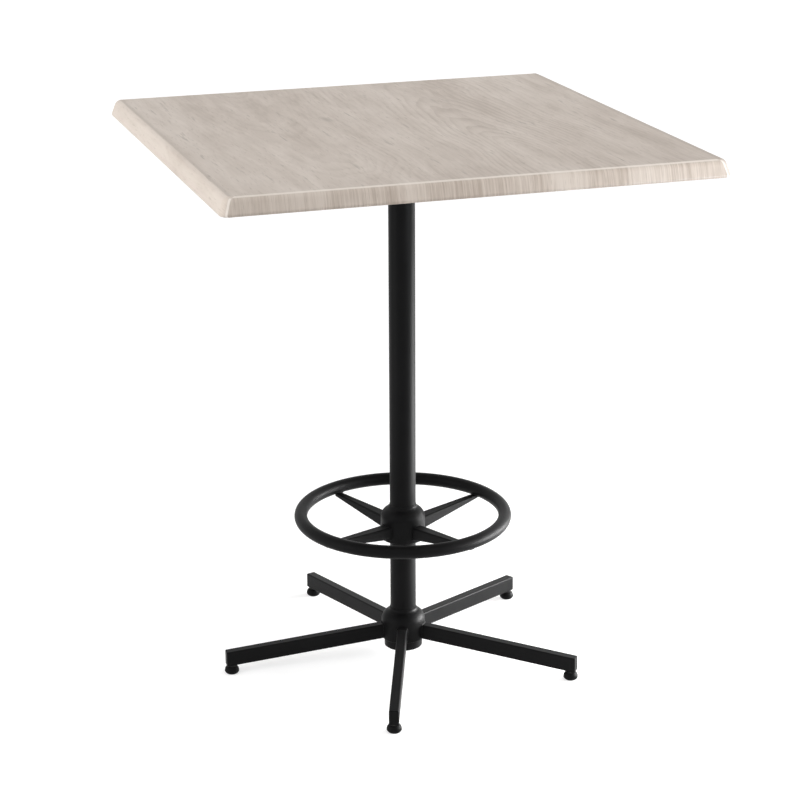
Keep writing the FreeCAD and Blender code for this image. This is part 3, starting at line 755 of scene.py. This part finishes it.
def root_bead(number):
    """Round the spoke's root on the hub's wall: y and z follow a rectangle with quarter
    circles at its corners, and x = sqrt(R^2 - y^2) lays it on the wall."""
    quarter = np.radians(np.linspace(0.0, 90.0, CORNER_POINTS))
    angle = np.concatenate([quarter + k * np.pi / 2.0 for k in range(4)])
    right, above = np.repeat([[1, -1, -1, 1], [1, 1, -1, -1]], CORNER_POINTS, axis=1)
    middle = RING_MIDDLE - SPOKE_ROOT_TOP - SPOKE_ROOT_DEPTH / 2.0
    y = right * (SPOKE_ROOT_HALF - SPOKE_ROOT_CORNER) + SPOKE_ROOT_CORNER * np.cos(angle)
    z = (middle + above * (SPOKE_ROOT_DEPTH / 2.0 - SPOKE_ROOT_CORNER)
         + SPOKE_ROOT_CORNER * np.sin(angle))
    corners = np.stack([np.zeros_like(y), y, z], axis=1)
    line = divided(np.vstack([corners, corners[:1]]))[:-1]
    line[:, 0] = np.sqrt(RING_HUB_WALL ** 2 - line[:, 1] ** 2)
    count = len(line)
    ripples = round(count / RIPPLE_POINTS)
    ripple = np.sin(2.0 * np.pi * np.arange(count) * ripples / count)
    grid = round_bead(line, ROOT_BEAD * (1.0 + RIPPLE_DEPTH * ripple),
                      np.array([1.0, 0.0, 0.0]), closed=True)
    return weld(f"root_bead_{number}", grid, f"foot_ring_spoke_{number}", ends="joined")


root_beads = [root_bead(number) for number in SPOKES]
print("root beads", len(root_beads), "of", len(root_beads[0].data.polygons), "faces")

# %% [markdown]
# ## Threaded stems
#
# When a foot is screwed down, a few millimetres of its stem show, so the thread has to
# be a real one. A thread is a cylinder whose radius depends on the height less the
# pitch times the part of a turn: lines of equal radius climb by one pitch per turn. The
# hexagon under it is another such surface, with its radius worked out from the flats.

# %% A threaded stem
PITCH = 0.00125
STEM_RADIUS, THREAD_DEPTH, THREAD_CHAMFER = 0.0040, 0.00062, 0.0009
STEM_SIDES, STEPS_PER_PITCH = 36, 8


def sweep_round(heights, radii, angles):
    """Points (r cos a, r sin a, z) for radii[height, angle]."""
    return np.stack([radii * np.cos(angles), radii * np.sin(angles),
                     np.broadcast_to(heights[:, None], radii.shape)], axis=-1)


def on_the_foot(number):
    """Where the axis of a foot stands on the floor."""
    middle = centre_of(f"glide_stem_{number}")
    return np.array([middle.x, middle.y, 0.0])


def threaded_stem(number):
    """r = R - depth * |saw(z / pitch - a / turn)|, with flat crests and roots, and drawn
    in at both ends by a chamfer."""
    foot, head = (float(corner.z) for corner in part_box(f"glide_stem_{number}"))
    heights = np.linspace(foot, head, int((head - foot) / PITCH * STEPS_PER_PITCH))
    angles = full_turn(STEM_SIDES)
    phase = heights[:, None] / PITCH - angles / (2.0 * np.pi)
    saw = np.abs(2.0 * (phase - np.floor(phase)) - 1.0)
    thread = STEM_RADIUS - THREAD_DEPTH * np.clip(1.25 * saw - 0.125, 0.0, 1.0)
    inset = np.minimum(heights - foot, head - heights)[:, None]
    shaft = sweep_round(heights, np.minimum(thread, STEM_RADIUS - THREAD_CHAMFER + inset),
                        angles)
    return solid_from_grid(f"threaded_stem_{number}", shaft + on_the_foot(number),
                           stem_finish, f"stem_{number}")


print("pitch", PITCH, "on a stem of radius", STEM_RADIUS)


# %% Its hexagon collar
HEXAGON_SIDES, CONE_SLOPE = 72, 1.73
COLLAR_FLATS, COLLAR_HEIGHT, COLLAR_INSET = 0.0170, 0.0018, 0.0001
COLLAR_LEVELS = np.array([0.0, 0.12, 0.3, 0.7, 0.88, 1.0])
COLLAR_LOW = float(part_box("glide_pad_1")[1].z)
COLLAR_HIGH = COLLAR_LOW + COLLAR_HEIGHT


def hexagon_radius(angles, flats):
    """Half the flats over the cosine of the angle from the nearest flat's middle."""
    sixth = np.pi / 3.0
    return flats / 2.0 / np.cos((angles + sixth / 2.0) % sixth - sixth / 2.0)


def collar(number):
    """The hexagon, cut by a cone of 30 degrees at its upper and lower corners."""
    angles = full_turn(HEXAGON_SIDES)
    heights = COLLAR_LOW + COLLAR_HEIGHT * COLLAR_LEVELS
    inset = np.minimum(heights - COLLAR_LOW, COLLAR_HIGH - heights)[:, None]
    cone = COLLAR_FLATS / 2.0 - COLLAR_INSET + CONE_SLOPE * inset
    radii = np.minimum(hexagon_radius(angles, COLLAR_FLATS), cone)
    hexagon = solid_from_grid(f"stem_collar_{number}",
                              sweep_round(heights, radii, angles) + on_the_foot(number),
                              stem_finish, f"stem_{number}")
    hexagon.data.shade_flat()


for number in LEGS:
    stem = threaded_stem(number)
    collar(number)
    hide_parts(f"glide_stem_{number}")
print("stems of", len(stem.data.polygons), "faces")

# %% [markdown]
# ## Screws and bolt
#
# Eight pan-head screws hold the spider in the top. Only their heads show, and only from
# below, so the head gets the work: a flat dome with a cross pressed into it. The dome is a
# profile turned about the screw. The cross is a depth taken off it, which depends on how
# far a point lies inside one of two crossed bars. The bolt in the base is a hexagon with
# its corners cut by a cone, like the collars of the feet.

# %% Pan-head screws
SCREW_COUNT, SCREWS_PER_ARM = 8, 2
SCREW_CIRCLE, SCREW_SPREAD, SPIDER_TURN = 0.270, 0.012, 45.0
SCREW_SIDES, SCREW_RINGS, DOME_START = 64, 34, 0.03
SHANK_POINT, POINT_RADIUS = 0.004, 0.0002
SCREW_HEAD_RADIUS, SCREW_HEAD_HEIGHT, SCREW_SHANK = 0.0046, 0.0026, 0.0022
CROSS_HALF, CROSS_REACH, CROSS_DEPTH, CROSS_SLOPE = 0.00062, 0.0025, 0.0014, 0.0004
SCREWS_LOW, SCREWS_HIGH = (float(corner.z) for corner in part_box("top_screws"))


def cross_depth(x, y):
    """Deep inside two crossed bars and 0 outside, with a slope along their sides."""
    def inside_bar(across, along):
        return np.minimum(CROSS_HALF - np.abs(across), CROSS_REACH - np.abs(along))

    inside = np.maximum(inside_bar(x, y), inside_bar(y, x))
    return CROSS_DEPTH * np.clip(inside / CROSS_SLOPE, 0.0, 1.0)


def pan_head_screw():
    """Head: z = low + H * (1 - sqrt(1 - (r / R)^3)) + cross; shank: straight, then a point."""
    angles = full_turn(SCREW_SIDES)
    rise = np.linspace(DOME_START, np.pi / 2.0, SCREW_RINGS)[:, None]
    radii = SCREW_HEAD_RADIUS * np.sin(rise)
    x, y = radii * np.cos(angles), radii * np.sin(angles)
    dome = SCREW_HEAD_HEIGHT * (1.0 - np.sqrt(1.0 - (radii / SCREW_HEAD_RADIUS) ** 3))
    head = np.stack([x, y, SCREWS_LOW + dome + cross_depth(x, y)], axis=-1)
    flange = SCREWS_LOW + SCREW_HEAD_HEIGHT
    heights = np.array([flange, SCREWS_HIGH - SHANK_POINT, SCREWS_HIGH])
    shank = np.array([SCREW_SHANK, SCREW_SHANK, POINT_RADIUS])[:, None] * np.ones_like(angles)
    return np.concatenate([head, sweep_round(heights, shank, angles)])


one_screw = pan_head_screw()
for number in range(SCREW_COUNT):
    side = 1.0 if number % SCREWS_PER_ARM else -1.0
    spot = np.array([SCREW_CIRCLE, side * SCREW_SPREAD, 0.0])
    grid = turned(one_screw + spot, SPIDER_TURN + 90.0 * (number // SCREWS_PER_ARM))
    screw = solid_from_grid(f"top_screw_{number + 1}", grid, zinc_finish,
                            "table")
    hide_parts("top_screws")
print("screws of", len(screw.data.polygons), "faces")

# %% Hexagon bolt
BOLT_FLATS, BOLT_HEAD_HEIGHT, BOLT_RADIUS = 0.0190, 0.0070, 0.0060
BOLT_INSET, BOLT_CHAMFER = 0.0002, 0.001
BOLT_LEVELS = np.array([0.0, 0.0005, 0.0010, BOLT_HEAD_HEIGHT - 0.0003, BOLT_HEAD_HEIGHT])


def hexagon_bolt():
    """The hexagon under a cone of 30 degrees at its foot, then the round shank."""
    low, high = (float(corner.z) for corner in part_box("base_bolt"))
    seat = low + BOLT_HEAD_HEIGHT
    angles = full_turn(HEXAGON_SIDES)
    cone = BOLT_FLATS / 2.0 - BOLT_INSET + CONE_SLOPE * BOLT_LEVELS[:, None]
    head = sweep_round(low + BOLT_LEVELS,
                       np.minimum(hexagon_radius(angles, BOLT_FLATS), cone), angles)
    radii = np.array([BOLT_RADIUS, BOLT_RADIUS, BOLT_RADIUS - BOLT_CHAMFER])[:, None]
    shank = sweep_round(np.array([seat, high - BOLT_CHAMFER, high]),
                        radii * np.ones_like(angles), angles)
    return np.concatenate([head, shank])


bolt = solid_from_grid("hexagon_bolt", hexagon_bolt(), zinc_finish,
                       "table")
bolt.data.shade_flat()
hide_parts("base_bolt")
print("bolt of", len(bolt.data.polygons), "faces")

# %% [markdown]
# ## Floor, light and background
#
# A plain studio: a pale floor, an even sky and a few lamps. The floor is lit like the
# table and only looks white because it glows a little for rays that come from the camera
# or from a reflection; the glow lights nothing, and the shadow stays.
#
# The light is level: a face that looks up sends back just about its own colour. Most of
# it is the even sky. A broad lamp on the left makes the left edge of the top the palest
# face, and a faint one above puts a soft light on what looks up.
#
# The other five are small. A strip on either side draws a long highlight down the black
# column, the right one, a little behind, more than the left. Both end below the top, so
# nobody who looks over it from low down sees them mirrored in the wood. A near box on the
# right makes the front edge paler towards that end. A long low box beside the base is for
# the flanks of the right legs, and one that hangs over the floor lights it there, so the
# flanks that look down see a bright floor. Grids narrow the beams of two of them, so
# their light stays where it is wanted.

# %% Background and floor
SKY_LIGHT = 0.40
FLOOR_GLOW = 0.54
FLOOR_HALF = 16.0
FLOOR_GREYS = tone(0.60, 0.60, 0.60), tone(0.62, 0.62, 0.62)
UNLIT, WHITE = tone(0.0, 0.0, 0.0), tone(1.0, 1.0, 1.0)


def seen_directly(finish):
    """1 for rays from the camera, from a glossy surface or through a clear one."""
    kinds = ("Is Camera Ray", "Is Glossy Ray", "Is Transmission Ray")
    path = [finish.add("LightPath", output=kind) for kind in kinds]
    return path[0].larger(path[1]).larger(path[2])


def pale_floor():
    """Diffuse pale grey, with a glow for seen rays that lifts it to white."""
    floor = Finish("pale floor")
    grey = floor.blend(floor.even_noise(0.7), *FLOOR_GREYS)
    glow = floor.blend(seen_directly(floor), UNLIT, WHITE)
    return floor.surface(Base_Color=grey, Roughness=0.9, Specular_IOR_Level=0.0,
                         Emission_Color=glow, Emission_Strength=FLOOR_GLOW)


floor_corners = [(x * FLOOR_HALF, y * FLOOR_HALF, 0.0)
                 for x, y in ((-1, -1), (1, -1), (1, 1), (-1, 1))]
floor_mesh = bpy.data.meshes.new("floor")
floor_mesh.from_pydata(floor_corners, [], [(0, 1, 2, 3)])
floor_mesh.materials.append(pale_floor())
floor = bpy.data.objects.new("floor", floor_mesh)
bpy.context.scene.collection.objects.link(floor)
print("floor", 2.0 * FLOOR_HALF, "m wide")

# %% Sky
world = bpy.data.worlds.new("studio")
world.use_nodes = True
bpy.context.scene.world = world


class Sky(Finish):
    """The same way of adding nodes, for the world's own network."""

    def __init__(self, world):
        self.tree = world.node_tree
        self.tree.nodes.clear()


sky = Sky(world)
strength = SKY_LIGHT + (1.0 - SKY_LIGHT) * seen_directly(sky)
background = sky.add("Background", {}, {"Color": WHITE, "Strength": strength})
sky.add("OutputWorld", {}, {"Surface": background})
print("sky gives", SKY_LIGHT, "of white")


# %% Lamps
def from_bearing(azimuth, elevation):
    """Unit vector towards a lamp: azimuth 0 is the front, 90 the right."""
    a, e = math.radians(azimuth), math.radians(elevation)
    return Vector((math.sin(a) * math.cos(e), -math.cos(a) * math.cos(e), math.sin(e)))


def hang(name, lamp, away):
    """An object for the lamp. A lamp shines along its own -Z, so its +Z points away."""
    item = bpy.data.objects.new(name, lamp)
    item.rotation_euler = away.to_track_quat("Z", "Y").to_euler()
    bpy.context.scene.collection.objects.link(item)
    return item


def broad_sun(name, azimuth, elevation, level, spread):
    """A lamp at infinity as wide as a softbox; level is its light on a face square to it.
    It isn't mirrored: what looks over the top from low down sees wood, not a lamp."""
    lamp = bpy.data.lights.new(name, "SUN")
    lamp.energy = level * math.pi
    lamp.angle = math.radians(spread)
    hang(name, lamp, from_bearing(azimuth, elevation)).visible_glossy = False


def softbox(name, place, aim, width, height, watts, tint=(1.0, 1.0, 1.0), beam=180.0):
    """A rectangular lamp that faces a point; a grid in front of it can narrow its beam."""
    lamp = bpy.data.lights.new(name, "AREA")
    lamp.shape = "RECTANGLE"
    lamp.size, lamp.size_y = width, height
    lamp.energy, lamp.color, lamp.spread = watts, tint, math.radians(beam)
    item = hang(name, lamp, Vector(place) - Vector(aim))
    item.location = place
    item.visible_camera = False


broad_sun("left softbox", azimuth=-80.0, elevation=22.0, level=0.70, spread=45.0)
broad_sun("top softbox", azimuth=30.0, elevation=62.0, level=0.22, spread=50.0)
softbox("right strip", place=(1.9, 0.45, 0.52), aim=(0.0, 0.0, 0.52),
        width=0.5, height=1.0, watts=10.5)
softbox("left strip", place=(-1.8, -0.35, 0.50), aim=(0.0, 0.0, 0.50),
        width=0.4, height=0.9, watts=3.5)
softbox("near right box", place=(1.0, -1.22, 0.88), aim=(0.54, -0.45, 1.04),
        width=0.5, height=0.4, watts=2.6, tint=(0.90, 0.95, 1.0), beam=78.0)
softbox("low right box", place=(1.35, -0.1, 0.24), aim=(0.0, 0.0, 0.10),
        width=1.3, height=0.44, watts=13.0, beam=60.0)
softbox("floor box", place=(0.85, 0.0, 0.52), aim=(0.85, 0.0, 0.0),
        width=0.8, height=0.9, watts=5.0)

# %% [markdown]
# ## The camera
#
# A long lens from a little above, turned so that the near corner of the top points left
# of the column. The lens is written as the distance of the picture plane in pixels of a
# picture 800 pixels wide, so the lens over the sensor is a plain ratio of the two.

# %% Camera
PICTURE = 800.0
FOCAL_PIXELS = 2250.0
SENSOR_WIDTH = 36.0
CAMERA_AZIMUTH, CAMERA_ELEVATION, CAMERA_ROLL = -18.07, 18.4, -0.25
CAMERA_DISTANCE = 4.343
AIM_RIGHT, AIM_HEIGHT = -0.0045, 0.5332

camera_data = bpy.data.cameras.new("camera")
camera_data.sensor_width = SENSOR_WIDTH
camera_data.lens = FOCAL_PIXELS * SENSOR_WIDTH / PICTURE
camera_data.clip_start, camera_data.clip_end = 0.1, 60.0
camera = bpy.data.objects.new("camera", camera_data)
bpy.context.scene.collection.objects.link(camera)
bpy.context.scene.camera = camera

back = from_bearing(CAMERA_AZIMUTH, CAMERA_ELEVATION)
level_right = Vector((math.cos(math.radians(CAMERA_AZIMUTH)),
                      math.sin(math.radians(CAMERA_AZIMUTH)), 0.0))
level_up = back.cross(level_right)
roll = math.radians(CAMERA_ROLL)
right = level_right * math.cos(roll) + level_up * math.sin(roll)
up = back.cross(right)
aim = level_right * AIM_RIGHT + Vector((0.0, 0.0, AIM_HEIGHT))
turn = Matrix((right, up, back)).transposed().to_4x4()
camera.matrix_world = Matrix.Translation(aim + back * CAMERA_DISTANCE) @ turn
bpy.context.scene.view_settings.view_transform = "Standard"
print("camera at", [round(v, 3) for v in camera.matrix_world.translation])
